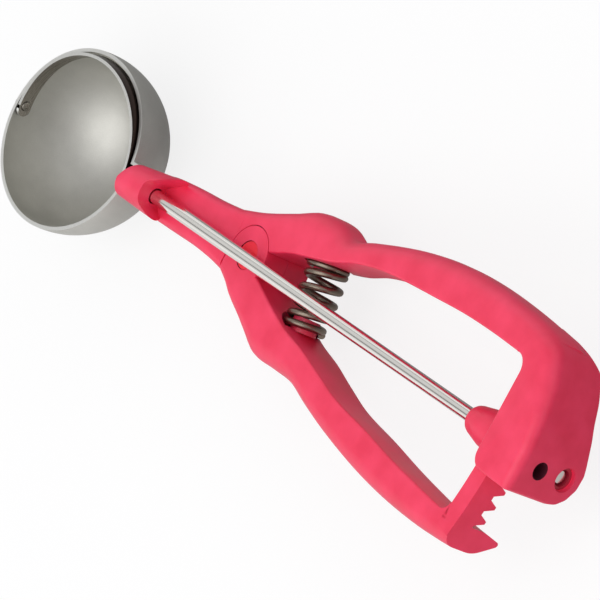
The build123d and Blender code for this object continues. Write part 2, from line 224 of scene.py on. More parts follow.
gripPlastic = mouldedPlastic("moulded_nylon_red", plasticLook)
pivotPlastic = mouldedPlastic("moulded_pivot_red", pivotLook)
boreShadePlastic = mouldedPlastic("painted_shade_bore_red", boreShadeLook)          # painted shade: dark colour for the inside of a deep hole
bushPlastic = mouldedPlastic("moulded_acetal_dark", bushLook)
bowlSteel = blastedSteel("bead_blasted_stainless", blastedLook)
rodSteel = drawnSteel("drawn_rod_steel", drawnLook)
stripSteel = drawnSteel("rolled_strip_steel", stripLook)
rimHighlightSteel = drawnSteel("ground_rim_steel_painted_highlight", rimHighlightLook)                # ground finish, smoother; its bright colour is a painted highlight
springSteel = drawnSteel("spring_wire_steel", wireLook)           # browned a little by its heat treatment
shadeDarkSteel = drawnSteel("painted_shade_tube_steel", shadeDarkTubeLook)            # painted shade: dark, as the tube lies in shadow inside the head


def dress(material, *names):
    for name in names:
        node = nodes[name]
        node.data.materials.clear()
        node.data.materials.append(material)
        for face in node.data.polygons:
            face.material_index = 0


dress(gripPlastic, "fixed_handle", "lever_handle")
dress(pivotPlastic, "pivot_pin", "pivot_cap")
dress(bowlSteel, "bowl")
dress(stripSteel, "scraper", "scraper_rivet", "scraper_washer")
dress(rodSteel, "drive_rod", "pinion_pin")
dress(shadeDarkSteel, "bowl_sleeve")
dress(bushPlastic, "front_bush", "rear_bush", "pinion")
dress(springSteel, "return_spring")

rimHeight = 1.9 * mm               # only the bowl's rim lies level above this
bowl = nodes["bowl"]
# painted highlight: the rim's up-facing flat gets the brighter colour
bowl.data.materials.append(rimHighlightSteel)
for face in bowl.data.polygons:
    if face.normal.z > 0.99 and face.center.z > rimHeight:
        face.material_index = 1
print("materials done")


# the flat frame that both handles are drawn in, in mm: u along them, v across, w up to their flat top at 0
handles = {
    "pivot": (74.5, 0.0, -3.0),
    "tilt": 9.0,                   # degrees from the rod's line
    "hubShift": 0.6,               # middle of the pivot, across the handles
    "hubRadius": 8.35,
    "hubGap": 0.25,
    "hubTop": -7.75,               # the fixed half's top face, under the lever's half
    "hubFoot": -15.6,
    "springPlace": (23.3, -9.6),   # where the spring's line passes, along and up
    "springLean": 0.19,
    "seatRadius": 6.9,
    "studRadius": 3.8,             # in the middle of each spring seat
}


def selectOnly(piece):
    bpy.ops.object.select_all(action="DESELECT")
    piece.select_set(True)
    bpy.context.view_layer.objects.active = piece


def fromHandles(u, v, w):
    # a point of the handles' frame, in metres in the object's own
    tilt = math.radians(handles["tilt"])
    x, y, z = handles["pivot"]
    return Vector(((x + u * math.cos(tilt) - w * math.sin(tilt)) * mm, (y + v) * mm,
                   (z + u * math.sin(tilt) + w * math.cos(tilt)) * mm))


def toHandles(x, y, z):
    # a point of the object's frame in mm, seen in the handles' own
    tilt = math.radians(handles["tilt"])
    px, py, pz = handles["pivot"]
    return ((x - px) * math.cos(tilt) + (z - pz) * math.sin(tilt), y - py,
            (z - pz) * math.cos(tilt) - (x - px) * math.sin(tilt))


def topAt(x):
    # height in the object's frame of the handles' flat top, at x
    px, py, pz = handles["pivot"]
    return pz + (x - px) * math.tan(math.radians(handles["tilt"]))


def alongTop(x):
    # how far along the handles the flat top is at x
    return toHandles(x, 0, topAt(x))[0]


def smoothBetween(a, b, slopeA, slopeB, f):
    # curve from a to b at the share f of the way
    return (a * (1 + 2 * f) * (1 - f) ** 2 + b * f * f * (3 - 2 * f)
            + slopeA * f * (1 - f) ** 2 - slopeB * f * f * (1 - f))


def smoothValue(values, t):
    # smooth curve through values that stand one unit apart
    i = min(int(t), len(values) - 2)
    before, after = values[max(i - 1, 0)], values[min(i + 2, len(values) - 1)]
    a, b = values[i], values[i + 1]
    return smoothBetween(a, b, 0.5 * (b - before), 0.5 * (after - a), t - i)


def smoothRows(rows, spacing):
    # more rows between the given ones, on smooth curves through them; the first number is the place
    dense = []
    for i in range(len(rows) - 1):
        a, b = rows[i], rows[i + 1]
        before, after = rows[max(i - 1, 0)], rows[min(i + 2, len(rows) - 1)]
        length = b[0] - a[0]
        steps = max(1, round(length / spacing))
        for k in range(steps):
            f = k / steps
            row = [a[0] + length * f]
            for j in range(1, len(a)):
                slopeA = (b[j] - before[j]) / (b[0] - before[0]) * length
                slopeB = (after[j] - a[j]) / (after[0] - a[0]) * length
                row.append(smoothBetween(a[j], b[j], slopeA, slopeB, f))
            dense.append(row)
    return dense + [list(rows[-1])]


springLook = {
    "wireRadius": 1.0 * mm,
    "coilRadius": 5.15,
    "startAngle": -52,             # degrees, where the wire's lower end lies
    "stepsPerTurn": 24,
    # across the handles, the wire's middle at each half turn, closed at both ends
    "heights": [-7.95, -7.6, -6.9, -5.0, -3.6, -1.5, 0.3, 2.5, 4.35, 6.4, 8.2, 9.1, 9.55, 9.65],
    # along them, the coil's middle at those half turns: it bows a little
    "middles": [24.7, 24.6, 24.5, 24.3, 24.2, 24.0, 23.8, 23.4, 23.0, 22.5, 21.9, 21.6, 21.45, 21.45],
    "fixedEnd": (0.095, 0.0107, -0.009),   # the seat that it is pressed against, in metres
    "squeezedShare": 0.765,        # of its length, when the lever is closed
}


def makeSpring(look):
    halfTurns = len(look["heights"]) - 1
    count = halfTurns * look["stepsPerTurn"] // 2
    curve = bpy.data.curves.new("return_spring_wire", "CURVE")
    curve.dimensions = "3D"
    spline = curve.splines.new("NURBS")
    spline.points.add(count)
    lean = handles["springLean"]
    for i, point in enumerate(spline.points):
        t = i * halfTurns / count
        angle = math.radians(look["startAngle"] - 180 * t)
        side = look["coilRadius"] * math.cos(angle) / math.hypot(1, lean)
        u = smoothValue(look["middles"], t) + side
        v = smoothValue(look["heights"], t) + side * lean
        w = handles["springPlace"][1] + look["coilRadius"] * math.sin(angle)
        point.co = (*fromHandles(u, v, w), 1.0)
    spline.order_u = 4
    spline.use_endpoint_u = True
    curve.bevel_depth = look["wireRadius"]
    curve.bevel_resolution = 4
    curve.resolution_u = 2
    curve.use_fill_caps = True
    wire = bpy.data.objects.new("return_spring_wire", curve)
    bpy.context.scene.collection.objects.link(wire)
    selectOnly(wire)
    bpy.ops.object.convert(target="MESH")
    wire = bpy.context.object
    bpy.ops.object.mode_set(mode="EDIT")
    bpy.ops.mesh.select_all(action="SELECT")
    bpy.ops.mesh.remove_doubles(threshold=0.01 * mm)
    bpy.ops.mesh.normals_make_consistent(inside=False)
    bpy.ops.object.mode_set(mode="OBJECT")
    bpy.ops.object.shade_smooth_by_angle(angle=math.radians(40))
    wire.data.materials.clear()
    wire.data.materials.append(springSteel)
    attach(wire, "frame")
    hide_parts("return_spring")
    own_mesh(wire)


def roundedLoop(corners, steps=6):
    # straight runs with an arc at every corner (place, place, radius); a radius of 0 keeps the corner
    loop = []
    for i, (x, y, radius) in enumerate(corners):
        if radius == 0:
            loop.append((x, y))
            continue
        a, b, c = Vector(corners[i - 1][:2]), Vector((x, y)), Vector(corners[(i + 1) % len(corners)][:2])
        toA, toC = (a - b).normalized(), (c - b).normalized()
        half = 0.5 * math.acos(max(-1, min(1, toA.dot(toC))))
        middle = b + (toA + toC).normalized() * (radius / math.sin(half))
        first = b + toA * (radius / math.tan(half)) - middle
        last = b + toC * (radius / math.tan(half)) - middle
        turn = math.atan2(first.x * last.y - first.y * last.x, first.dot(last))
        start = math.atan2(first.y, first.x)
        for k in range(steps + 1):
            angle = start + turn * k / steps
            loop.append((middle.x + radius * math.cos(angle), middle.y + radius * math.sin(angle)))
    return loop


def circlePoints(radius, count):
    return [(radius * math.cos(2 * math.pi * k / count), radius * math.sin(2 * math.pi * k / count))
            for k in range(count)]


def skin(name, loops):
    # a closed skin through outlines of equally many points, in millimetres
    count = len(loops[0])
    points = [point for loop in loops for point in loop]
    faces = [tuple(reversed(range(count))), tuple(range(len(points) - count, len(points)))]
    for start in range(0, len(points) - count, count):
        for k in range(count):
            here, beside = start + k, start + (k + 1) % count
            faces.append((here, beside, beside + count, here + count))
    mesh = bpy.data.meshes.new(name)
    mesh.from_pydata(points, [], faces)
    piece = bpy.data.objects.new(name, mesh)
    bpy.context.scene.collection.objects.link(piece)
    selectOnly(piece)
    bpy.ops.object.mode_set(mode="EDIT")
    bpy.ops.mesh.select_all(action="SELECT")
    bpy.ops.mesh.normals_make_consistent(inside=False)
    bpy.ops.object.mode_set(mode="OBJECT")
    return piece


def combine(piece, tool, operation="DIFFERENCE"):
    modifier = piece.modifiers.new("shape", "BOOLEAN")
    modifier.operation = operation
    modifier.solver = "EXACT"
    modifier.object = tool
    bpy.context.view_layer.objects.active = piece
    bpy.ops.object.modifier_apply(modifier=modifier.name)
    bpy.data.objects.remove(tool)
    return piece


def plainBar(radius, x0, x1, count=48):
    # round bar on the rod's line, in the object's frame
    return skin("bar", [[(x, a, b) for a, b in circlePoints(radius, count)] for x in (x0, x1)])


def rodShape(radius, x0, x1, z=0.0, count=64):
    # round bar along the rod's line at the height z, in the handles' frame
    return skin("bar", [[toHandles(x, a, z + b) for a, b in circlePoints(radius, count)]
                        for x in (x0, x1)])


def discShape(radius, w0, w1, count=128):
    # disc about the pivot
    return skin("disc", [[(a, handles["hubShift"] + b, w) for a, b in circlePoints(radius, count)]
                         for w in (w0, w1)])


def boxShape(low, high, ownFrame=True):
    corners = [(low[0], low[1]), (high[0], low[1]), (high[0], high[1]), (low[0], high[1])]
    loops = [[(a, b, c) for a, b in corners] for c in (low[2], high[2])]
    if not ownFrame:
        loops = [[toHandles(*point) for point in loop] for loop in loops]
    return skin("block", loops)


def springDisc(radius, s0, s1):
    # disc about the spring's leaning axis
    lean = handles["springLean"]
    length = math.hypot(1, lean)
    u0, w0 = handles["springPlace"]
    return skin("disc", [[(u0 + (a - s * lean) / length, (s + a * lean) / length, w0 + b)
                          for a, b in circlePoints(radius, 48)] for s in (s0, s1)])


def makeBall(radius):
    parts = 40
    loops = []
    for k in range(1, parts):
        angle = math.pi * k / parts
        x, ring = -radius * math.cos(angle), radius * math.sin(angle)
        loops.append([toHandles(x, a, b) for a, b in circlePoints(ring, 2 * parts)])
    return skin("ball", loops)


def arcLoop(inner, outer, a0, a1, count):
    angles = [math.radians(a0 + (a1 - a0) * k / count) for k in range(count + 1)]
    shift = handles["hubShift"]
    loop = [(outer * math.cos(a), shift + outer * math.sin(a)) for a in angles]
    return loop + [(inner * math.cos(a), shift + inner * math.sin(a)) for a in reversed(angles)]


def settle(piece, name, material, body, node, tilted=True, angle=32):
    # from the handles' frame, or the object's, in millimetres to the object's in metres, then finish
    piece.name = name
    selectOnly(piece)
    if tilted:
        piece.rotation_euler = (0, -math.radians(handles["tilt"]), 0)
        piece.location = [value * mm for value in handles["pivot"]]
    piece.scale = (mm, mm, mm)
    bpy.ops.object.transform_apply(location=True, rotation=True, scale=True)
    bpy.ops.object.mode_set(mode="EDIT")
    bpy.ops.mesh.select_all(action="SELECT")
    bpy.ops.mesh.remove_doubles(threshold=0.004 * mm)
    bpy.ops.mesh.dissolve_degenerate(threshold=0.004 * mm)
    bpy.ops.mesh.normals_make_consistent(inside=False)
    bpy.ops.object.mode_set(mode="OBJECT")
    bpy.ops.object.shade_smooth_by_angle(angle=math.radians(angle))
    piece.data.materials.clear()
    piece.data.materials.append(material)
    for face in piece.data.polygons:
        face.material_index = 0
    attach(piece, body)
    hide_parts(node)


ringLook = {
    "outer": 24.3,
    "inner": 23.4,
    "halfWidth": 2.15,
    "sweep": (-9, 198),            # first angle of the strip and how far round, before its ends are cut
    "park": 7.8,                   # degrees that the ring leans out of the bowl's wall at rest
    "tabLength": 3.0,
    "tabRound": 2,
    "rivetHole": 1.48,
    "squareHole": 1.1,             # half of its width
    "edgeRound": 0.13,
    # place along the rod's line and radius, from the outer head to the inner
    "rivet": [(-26.65, 0.02), (-26.65, 1.1), (-26.53, 1.38), (-26.25, 1.5), (-25.88, 1.5), (-25.88, 0.9),
              (-24.35, 0.9), (-24.35, 1.35), (-23.2, 1.35), (-23.06, 1.29), (-23.0, 1.15), (-23.0, 0.65),
              (-23.25, 0.6), (-23.25, 0.02)],
    "sleeveRun": (26.6, 36.0),
    "sleeveRadii": (2.35, 3.0),
}


def makeRing(look):
    half = look["halfWidth"]
    start, sweep = look["sweep"]
    steps = 180
    arc = []
    for radius, order in ((look["outer"], 1), (look["inner"], -1)):
        run = [math.radians(start + sweep * k / steps) for k in range(steps + 1)][::order]
        arc += [(radius * math.cos(a), radius * math.sin(a)) for a in run]
    ring = skin("sweep_ring", [[(a, b, z) for a, b in arc] for z in (-half, half)])
    keep = boxShape((-30, 0, -5), (30, 30, 5))           # the strip stops at the rod's line, but for its tabs
    long, corner = look["tabLength"], look["tabRound"]
    tab = roundedLoop([(-long, -half, corner), (long, -half, corner),
                       (long, half, corner), (-long, half, corner)], 8)
    combine(keep, skin("tab", [[(x, a, b) for a, b in tab] for x in (-30, -15)]), "UNION")
    combine(keep, plainBar(half, 15, 30), "UNION")
    combine(ring, keep, "INTERSECT")
    combine(ring, plainBar(look["rivetHole"], -30, -20))
    square = look["squareHole"]
    combine(ring, boxShape((20, -square, -square), (30, square, square)))
    ring.data.transform(Matrix.Rotation(math.radians(look["park"]), 4, "X"))
    edge = ring.modifiers.new("edge", "BEVEL")
    edge.width = look["edgeRound"]
    edge.segments = 2
    edge.limit_method = "ANGLE"
    edge.angle_limit = math.radians(50)
    bpy.context.view_layer.objects.active = ring
    bpy.ops.object.modifier_apply(modifier="edge")
    settle(ring, "sweep_ring", stripSteel, "drive", "scraper", tilted=False)
    ring.data.materials.append(rimHighlightSteel)
    ring.data.materials.append(shadeDarkSteel)
    across = Matrix.Rotation(math.radians(look["park"]), 3, "X") @ Vector((0, 0, 1))
    for face in ring.data.polygons:
        if abs(face.normal.dot(across)) > 0.3:
            face.material_index = 1                      # ground edges, with a painted highlight as brighter colour
        elif face.normal.dot(face.center) > 0:
            face.material_index = 2                      # back of the strip, dark as painted shade in the gap by the bowl's wall


def makeRivetAndSleeve(look):
    rivet = skin("ring_rivet", [[(x, a, b) for a, b in circlePoints(radius, 40)]
                                for x, radius in look["rivet"]])
    settle(rivet, "ring_rivet", stripSteel, "frame", "scraper_rivet",
           tilted=False, angle=40)
    (x0, x1), (inner, outer) = look["sleeveRun"], look["sleeveRadii"]
    tube = combine(plainBar(outer, x0, x1, 64), plainBar(inner, x0 - 6.6, x1 + 4, 64))
    settle(tube, "head_sleeve", shadeDarkSteel, "frame", "bowl_sleeve", tilted=False)


gearTurn = -6.42                   # degrees, so that the gear's teeth stand between the rack's


def turnedCopy(node, name, material):
    # the gear and its pin, turned to mesh with the rack's teeth
    piece = nodes[node].copy()
    piece.data = nodes[node].data.copy()
    bpy.context.scene.collection.objects.link(piece)
    piece.parent = None
    piece.data.transform(Matrix.Rotation(math.radians(gearTurn), 4, "X"))
    piece.data.transform(Matrix.Scale(1 / mm, 4))
    settle(piece, name, material, "drive", node, tilted=False)


gripShape = {
    "spacing": 1.6,
    "draft": 0.2,                  # how far the outer side draws in where the belly starts
    "bellyShare": 0.62,            # where that is, as a share of the depth
    "innerEdge": 0.7,
    "ridgeEdge": 0.9,              # radius at the lowest line
    "footEdge": 1.4,
    "belly": 3.2,
    "bellyFrom": 60.0,             # the lever's belly gets rounder from here
    "bellyRun": 60.0,
    "sinkFrom": 6.0,               # its top falls from here
    "sinkRun": 114.0,
}


def gripLoops(look):
    # outlines across a grip: flat top, rounded outer side, a low ridge and a hollow inner face
    shape = gripShape
    rows = []
    for u, inner, outer, innerDepth, ridge, depth, edge in look["grip"]:
        top = look["sink"] * max(0.0, u - shape["sinkFrom"]) / shape["sinkRun"]
        grown = min(1.0, max(0.0, (u - shape["bellyFrom"]) / shape["bellyRun"]))
        rows.append((u, inner, outer, top, innerDepth, ridge, depth, edge,
                     shape["belly"] + look["bellyGrowth"] * grown))
    loops = []
    for u, inner, outer, top, innerDepth, ridge, depth, edge, belly in smoothRows(rows, shape["spacing"]):
        side = 1 if outer > 0 else -1
        loop = roundedLoop([
            (inner, top, shape["innerEdge"]),
            (outer, top, edge),
            (outer - side * shape["draft"], top - shape["bellyShare"] * depth, belly),
            (ridge, top - depth, shape["ridgeEdge"]),
            (inner, top - innerDepth, shape["footEdge"]),
        ])
        loops.append([(u, v, w) for v, w in loop])
    return loops


housingLook = {
    "root": (193.0, 23.4, 33.1),   # where it grows out of the grip: X, inner and outer side
    "frontX": 197.3,
    "endX": 214.8,
    "rightY": -7.8,
    "bottom": -12,                 # under the lowest point of the outline
    "frontRound": 4.2,
    "cornerRound": 1.2,
    "topEdge": 0.8,
    # back of the elbow from above: X, Y and corner radius
    "rear": [(214.8, 4.0, 24), (213.4, 12.6, 24), (210.2, 21.6, 24), (204.8, 30.4, 8), (199.5, 32.2, 12)],
    "ridge": 5.2,                  # the widest rounding of the top's outer edge, at the elbow
    "ridgeLow": 0.6,               # share of it at the low end
    "ridgeGrows": (6.0, 25.0),     # between these Y
    # end face: Y, Z and corner radius
    "outline": [(-7.8, 30, 0.5), (-7.8, 2.6, 4), (-6.9, -1.0, 4), (-4.9, -3.8, 3), (-1.5, -5.7, 3),
                (2.4, -5.9, 3), (14.7, -2.8, 20), (25.0, -2.4, 8), (27.8, -2.2, 1.6), (33.6, 4.6, 4),
                (33.6, 30, 0.5)],
    "outlineRun": (180, 230),      # well past both faces
}


def towerLoops(outline, bottom):
    # upright wall from a level bottom to the handles' sloping flat top
    low = [toHandles(x, y, bottom) for x, y in outline]
    high = [(alongTop(x), y, 0.0) for x, y in outline]
    return [low, high]


def topEdges(piece, uMin, vMin=-100):
    # edges round the flat top that lie beyond uMin and vMin, with their middles
    found = []
    for edge in piece.data.edges:
        a, b = [piece.data.vertices[i].co for i in edge.vertices]
        middle = (a + b) / 2
        if abs(a.z) < 1e-4 and abs(b.z) < 1e-4 and middle.x > uMin and middle.y > vMin:
            found.append((edge, middle.y))
    return found


def roundTop(piece, width, uMin):
    selectOnly(piece)
    bpy.ops.object.mode_set(mode="EDIT")
    bpy.ops.mesh.select_mode(type="EDGE")
    bpy.ops.mesh.select_all(action="DESELECT")
    bpy.ops.object.mode_set(mode="OBJECT")
    for edge, v in topEdges(piece, uMin):
        edge.select = True
    bpy.ops.object.mode_set(mode="EDIT")
    bpy.ops.mesh.bevel(offset=width, segments=4, profile=0.5, clamp_overlap=False)
    bpy.ops.mesh.select_mode(type="VERT")
    bpy.ops.object.mode_set(mode="OBJECT")


def roundRidge(piece, look, uMin, vMin):
    # rounded wider and wider towards the elbow
    lowY, highY = look["ridgeGrows"]
    weights = piece.data.attributes.new("bevel_weight_edge", "FLOAT", "EDGE")
    for edge, v in topEdges(piece, uMin, vMin):
        grown = max(0.0, min(1.0, (v - lowY) / (highY - lowY)))
        share = look["ridgeLow"] + (1 - look["ridgeLow"]) * grown * grown * (3 - 2 * grown)
        weights.data[edge.index].value = share
    bevel = piece.modifiers.new("ridge", "BEVEL")
    bevel.width = look["ridge"]
    bevel.segments = 8
    bevel.limit_method = "WEIGHT"
    bevel.use_clamp_overlap = False
    bpy.context.view_layer.objects.active = piece
    bpy.ops.object.modifier_apply(modifier="ridge")


def makeHousing(look):
    rootX, innerY, outerY = look["root"]
    plan = [(rootX, innerY, 0), (look["frontX"], innerY, look["frontRound"]),
            (look["frontX"], look["rightY"], look["frontRound"]),
            (look["endX"], look["rightY"], look["cornerRound"])] + look["rear"] + [(rootX, outerY, 0)]
    block = skin("housing", towerLoops(roundedLoop(plan, 10), look["bottom"]))
    roundTop(block, look["topEdge"], alongTop(rootX + 0.1))
    # a wider block with the same back has the ridge; what the two share with the end face's outline is kept
    start, right, left = 150.0, -30.0, 39.0
    wide = [(start, right, 0), (look["endX"], right, 0)] + look["rear"] + [(start, left, 0)]
    ridge = skin("ridge", towerLoops(roundedLoop(wide, 12), look["bottom"] - 8))
    roundRidge(ridge, look, alongTop(start + 10), right + 1)
    outline = roundedLoop(look["outline"], 8)
    profile = skin("profile", [[toHandles(x, y, z) for y, z in outline] for x in look["outlineRun"]])
    combine(block, ridge, "INTERSECT")
    return combine(block, profile, "INTERSECT")


fixedLook = {
    "sink": 0.0,
    "bellyGrowth": 0.0,
    # place along the handle, inner side, outer side, inner depth, lowest line, its depth, edge radius
    "grip": [
        (-14.0, 0.5, 9.5, 15.0, 3.0, 15.6, 2.4), (-4.0, 1.5, 12.75, 15.2, 4.0, 16.0, 3.0),
        (7.3, 4.6, 17.65, 15.4, 8.0, 16.6, 4.0), (15.8, 8.0, 21.7, 15.6, 12.0, 17.0, 5.0),
        (24.6, 10.4, 22.7, 15.4, 14.0, 17.2, 5.4), (33.4, 12.8, 20.8, 14.6, 15.5, 17.0, 5.0),
        (42.3, 16.2, 23.7, 13.6, 18.2, 16.6, 4.8), (53.5, 18.9, 27.3, 12.8, 21.2, 16.4, 4.8),
        (64.9, 20.4, 30.4, 12.4, 23.3, 16.4, 5.0), (78.8, 21.7, 32.95, 12.4, 25.2, 16.6, 5.2),
        (92.8, 22.9, 34.0, 12.6, 26.4, 17.0, 5.2), (106.9, 23.4, 33.95, 13.4, 27.0, 17.8, 4.6),
        (120.0, 23.4, 33.25, 14.6, 27.0, 18.4, 4.9), (126.0, 23.4, 32.3, 15.4, 27.2, 19.2, 5.1),
        (128.6, 23.4, 31.4, 15.6, 27.0, 19.4, 5.2),
    ],
    # place along the rod, right side, left side, bottom, top, lower and upper edge radius
    "neck": [
        (30.0, -3.6, 3.6, -4.8, -2.7, 1.0, 0.8), (33.0, -5.4, 5.8, -7.1, -2.7, 2.6, 1.3),
        (36.8, -5.9, 7.0, -8.1, -2.7, 3.4, 1.8), (42.0, -6.0, 7.7, -9.5, -2.75, 3.8, 2.3),
        (47.0, -6.0, 8.1, -10.9, -2.95, 3.8, 2.5), (53.0, -6.0, 8.4, -12.7, -3.4, 3.4, 2.6),
        (60.0, -6.5, 9.3, -14.6, -3.95, 3.0, 2.6), (66.0, -7.4, 10.4, -16.6, -4.3, 3.0, 2.6),
    ],
    "neckSpacing": 1.2,
    "head": [(20, -0.75, 0.0, 4.6), (48, 1.55, 0.6, 7.25)],    # X, middle's Y and Z, and radius, at both ends
    # open trough behind the head: X, Y and corner radius
    "trough": [(36.8, -3.0, 2), (36.8, 3.0, 2), (43.7, 7.4, 2), (48.0, 12.0, 1), (60.0, 12.0, 1),
               (60.0, -12.0, 1), (48.0, -12.0, 1), (43.7, -7.4, 2)],
    "troughFloor": -2.7,
    "troughTop": 17.3,             # above the head
    "troughFalls": (40, 0.62),     # from this X on, and how steeply
    "leverSide": ((-8.9, -40, -40), (60, -0.6, 20)),           # room for the lever's root
    "rackSpace": (122.35, 128.95, -28, 10.1),                  # radii and angles of the slot for the rack arm
    "rackSpaceRun": (-19.55, -3.55),
    "gearRoom": ((190, -9, -20), (202.6, 22.6, 12.0)),
    # conical boss that the rod enters: X and radius
    "boss": [(176.6, 0.05), (176.6, 2.0), (176.73, 2.75), (177.1, 3.4), (177.75, 3.9), (178.6, 4.25),
             (183.5, 5.5), (189.0, 6.1), (194.0, 6.7)],
    # guard under the gear: radius and run of the tube, of its hollow, and the boxes cut off it
    "guard": (8.8, 192.0, 203.1),
    "guardHollow": (7.5, 195.5, 210),
    "guardCuts": [((180, -20, 1.0), (230, 5.8, 30)), ((180, 5.7, 4.0), (230, 20, 30)),
                  ((180, -20, -20), (230, -5.6, 30))],
    "bowlRoom": 25.95,             # the ball that the bowl sits in
    # round holes along the rod: radius, from, to
    "bores": [
        (5.25, 15, 29.1),          # bowl's collar
        (3.01, 15, 36.0),          # sleeve
        (2.35, 35, 120),           # room for the rod in the trough
        (2.25, 150, 195.9),        # rod through the boss
        (3.21, 201.6, 215.8),      # rear bush
        (3.5, 213.6, 215.8),       # its wider mouth
    ],
    "upperHole": (2.55, 12.4, 10.3),       # radius, depth and height
    "pinHole": 3.21,
    "capRecess": 5.6,
    "springSeat": (2, 10.9),
    "springStud": (7.3, 11.4),
}


def makeFixedHandle(look):
    hub, foot, rest = handles["hubRadius"], handles["hubFoot"], handles["hubTop"]
    piece = skin("fixed_handle_moulding", gripLoops(look))
    combine(piece, boxShape(*look["leverSide"]))
    loops = []
    for x, right, left, bottom, top, low, high in smoothRows(look["neck"], look["neckSpacing"]):
        outline = roundedLoop([(right, bottom, low), (left, bottom, low),
                               (left, top, high), (right, top, high)])
        loops.append([toHandles(x, y, z) for y, z in outline])
    neck = combine(skin("neck", loops), boxShape(*look["leverSide"]))
    head = skin("head", [[toHandles(x, y + a, z + b) for a, b in circlePoints(radius, 72)]
                         for x, y, z, radius in look["head"]])
    trough = roundedLoop(look["trough"], 8)
    fallsFrom, steepness = look["troughFalls"]
    floor = [toHandles(x, y, look["troughFloor"] - steepness * max(0.0, x - fallsFrom)) for x, y in trough]
    combine(head, skin("trough", [floor, [toHandles(x, y, look["troughTop"]) for x, y in trough]]))
    combine(piece, neck, "UNION")
    combine(piece, head, "UNION")
    combine(piece, discShape(hub + handles["hubGap"], rest, 20))
    combine(piece, discShape(hub, foot, rest), "UNION")
    combine(piece, makeHousing(housingLook), "UNION")
    combine(piece, skin("space", [[(u, v, w) for u, v in arcLoop(*look["rackSpace"], 96)]
                                  for w in look["rackSpaceRun"]]))
    combine(piece, boxShape(*look["gearRoom"], False))
    combine(piece, skin("boss", [[toHandles(x, a, b) for a, b in circlePoints(radius, 64)]
                                 for x, radius in look["boss"]]), "UNION")
    guard = combine(rodShape(*look["guard"]), rodShape(*look["guardHollow"]))
    for low, high in look["guardCuts"]:
        combine(guard, boxShape(low, high, False))
    combine(piece, guard, "UNION")
    combine(piece, makeBall(look["bowlRoom"]))
    for radius, x0, x1 in look["bores"]:
        combine(piece, rodShape(radius, x0, x1))
    radius, depth, height = look["upperHole"]
    endX = housingLook["endX"]
    combine(piece, rodShape(radius, endX - depth, endX + 1, height))
    combine(piece, discShape(look["pinHole"], -30, 1, 48))
    combine(piece, discShape(look["capRecess"], -30, foot, 64))
    combine(piece, springDisc(handles["seatRadius"], *look["springSeat"]))
    combine(piece, springDisc(handles["studRadius"], *look["springStud"]), "UNION")
    settle(piece, "fixed_handle_moulding", gripPlastic, "frame", "fixed_handle")
    piece.data.materials.append(boreShadePlastic)
    for face in piece.data.polygons:
        x, y, z = face.center / mm
        if math.hypot(y, z - height) < radius + 0.05 and 190 < x < endX - 1.2:
            face.material_index = 1                      # inside of the upper hole, coloured dark as painted shade


leverLook = {
    "sink": -3.9,                  # how far its top has fallen at the rack
    "bellyGrowth": 3.2,
    # place along the handle, inner side, outer side, inner depth, lowest line, its depth, edge radius
    "grip": [
        (-8.4, -1.5, -7.6, 15.0, -4.6, 15.4, 2.0), (-4.0, -1.6, -9.6, 15.1, -5.2, 15.6, 2.3),
        (-0.3, -1.8, -11.8, 15.2, -6.0, 15.8, 2.6), (7.5, -2.7, -15.3, 15.4, -7.5, 16.4, 3.4),
        (12.5, -4.4, -18.0, 15.4, -9.0, 16.8, 4.2), (18.4, -6.6, -20.9, 15.4, -10.8, 17.0, 5.0),
        (28.1, -9.5, -20.9, 15.0, -13.4, 17.0, 5.0), (38.0, -11.2, -20.95, 14.0, -14.6, 16.4, 4.4),
        (48.0, -13.6, -23.5, 13.0, -16.9, 16.2, 4.2), (60.0, -16.4, -26.3, 12.4, -19.8, 16.2, 4.4),
        (76.0, -18.2, -29.05, 12.0, -21.8, 16.4, 4.6), (92.0, -20.3, -30.6, 11.6, -23.4, 16.8, 4.6),
        (108.0, -21.8, -30.95, 11.0, -24.4, 17.4, 4.4), (120.0, -22.7, -30.4, 10.4, -24.5, 17.4, 4.0),
        (129.4, -22.9, -29.6, 10.2, -24.4, 17.3, 3.4),
    ],
    "rackInner": 122.7,
    "rackOuter": 128.6,
    "rackMean": 125.3,
    "rackTop": -3.9,
    "rackRun": (-27.5, 4.2),       # along the arc, from the pivot's line
    "rackStep": 0.7,
    "pitchHeight": 5.8,            # above the rod's line
    "toothRise": 1.2,
    "toothRoot": 1.5,
    "toothPitch": math.pi * 1.45,
    "flankAngle": 25,
    "backlash": 0.155,
    "middleTooth": -11.45,         # along the arc
    "teeth": range(-2, 4),         # counted from the middle one
    # fillet between grip and rack arm: middle, radius, angles, length of its legs, heights
    "elbow": (117.3, -19.1, 3.5),
    "elbowAngles": (-96.7, -10.0),
    "elbowLegs": (4.5, 5.0),
    "elbowRun": (-9.0, -3.9),
    "hubUnder": -7.6,
    "pinHole": 3.25,
    "headRecess": (4.15, -1.65),   # radius and floor
    "springSeat": (-9.1, -1),
    "springStud": (-9.6, -5.5),
    "rodGroove": (2.35, 60, 120),
    "grooveStep": -1.9,            # degrees between the grooves that clear the rod on the way
    "grooves": 5,
}


